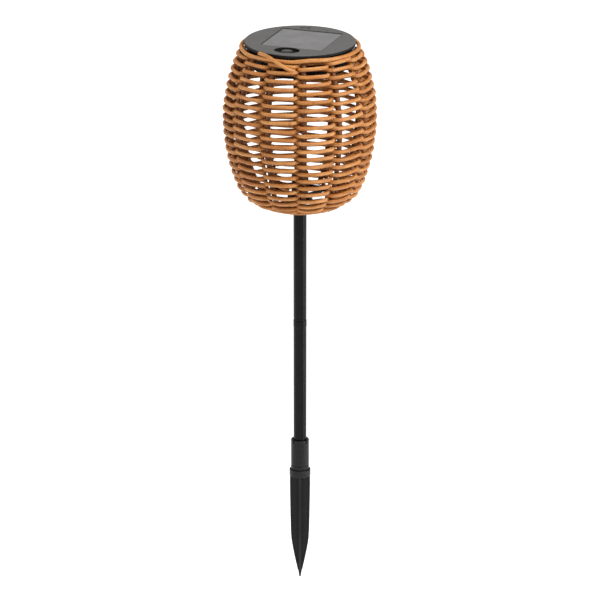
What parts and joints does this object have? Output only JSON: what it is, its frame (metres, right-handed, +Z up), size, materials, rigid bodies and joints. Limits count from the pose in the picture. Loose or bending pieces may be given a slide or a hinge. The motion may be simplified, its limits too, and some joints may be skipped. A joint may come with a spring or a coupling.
{
  "type": "solar woven stake light",
  "caption": "Garden stake light with a woven rattan barrel shade, a solar lamp cap with a push button, a two-piece black pole and a finned ground spike.",
  "frame": {"origin": "on the pole's axis at ground level, in the plane of the underside of the spike's flange", "axes": "+Z up along the pole; -Y toward the front, where the push button is; +X to the right seen from the front"},
  "size_m": [0.1476, 0.1476, 0.5504],
  "materials": {
    "black_plastic": "satin black moulded plastic",
    "black_paint": "satin black paint on steel",
    "grey_plastic": "matt grey moulded plastic",
    "rattan": "varnished natural rattan",
    "cane": "natural cane",
    "panel_face": "satin resin over solar cell",
    "rubber": "matt",
    "steel": "plain",
    "board": "solder mask",
    "cell_wrap": "plain shrink wrap",
    "led_body": "clear tinted",
    "frosted": "frosted",
    "red_wire": "insulation",
    "black_wire": "insulation"
  },
  "bodies": {
    "spike": {"ground_spike": "black_plastic", "spike_collar": "black_plastic"},
    "lower_pole": {"lower_tube": "black_paint", "pole_ferrule": "black_plastic"},
    "upper_pole": {"upper_tube": "black_paint", "tube_plug": "black_plastic"},
    "shade": {"pole_socket": "black_plastic", "base_spider": "black_paint", "bottom_ring": "black_paint", "top_ring": "black_paint", "woven_shade": "rattan", "stake_01": "cane", "stake_02": "cane", "stake_03": "cane", "stake_04": "cane", "stake_05": "cane", "stake_06": "cane", "stake_07": "cane", "stake_08": "cane", "stake_09": "cane", "stake_10": "cane", "stake_11": "cane", "stake_12": "cane"},
    "lamp": {"cap_lid": "grey_plastic", "solar_panel": "panel_face", "panel_gasket": "rubber", "seal_ring": "rubber", "lamp_housing": "black_plastic", "lid_screw_1": "steel", "lid_screw_2": "steel", "lid_screw_3": "steel", "circuit_board": "board", "driver_chip": "black_plastic", "tact_switch": "black_plastic", "battery_cell": "cell_wrap", "contact_plate": "steel", "contact_spring": "steel", "led_emitter": "led_body", "led_lens": "frosted", "panel_lead_negative": "black_wire", "panel_lead_positive": "red_wire", "battery_lead_positive": "red_wire", "battery_lead_negative": "black_wire", "hinge_pin": "steel"},
    "button": {"power_button": "black_plastic"},
    "door": {"battery_door": "black_plastic"}
  },
  "joints": [
    {"name": "pole_into_spike", "type": "slide", "parent": "spike", "child": "lower_pole", "axis": [0, 0, 1], "range_m": [0, 0.034]},
    {"name": "pole_sections", "type": "slide", "parent": "lower_pole", "child": "upper_pole", "axis": [0, 0, 1], "range_m": [0, 0.024]},
    {"name": "shade_onto_pole", "type": "slide", "parent": "upper_pole", "child": "shade", "axis": [0, 0, 1], "range_m": [0, 0.032]},
    {"name": "lamp_into_shade", "type": "slide", "parent": "shade", "child": "lamp", "axis": [0, 0, 1], "range_m": [0, 0.04]},
    {"name": "button_press", "type": "slide", "parent": "lamp", "child": "button", "axis": [0, 0, -1], "range_m": [0, 0.0015], "stiffness_N_per_m": 400, "springref_m": -0.001},
    {"name": "battery_door_hinge", "type": "hinge", "parent": "lamp", "child": "door", "pos_m": [0, 0.0305, 0.4176], "axis": [1, 0, 0], "range_deg": [0, 100]}
  ]
}
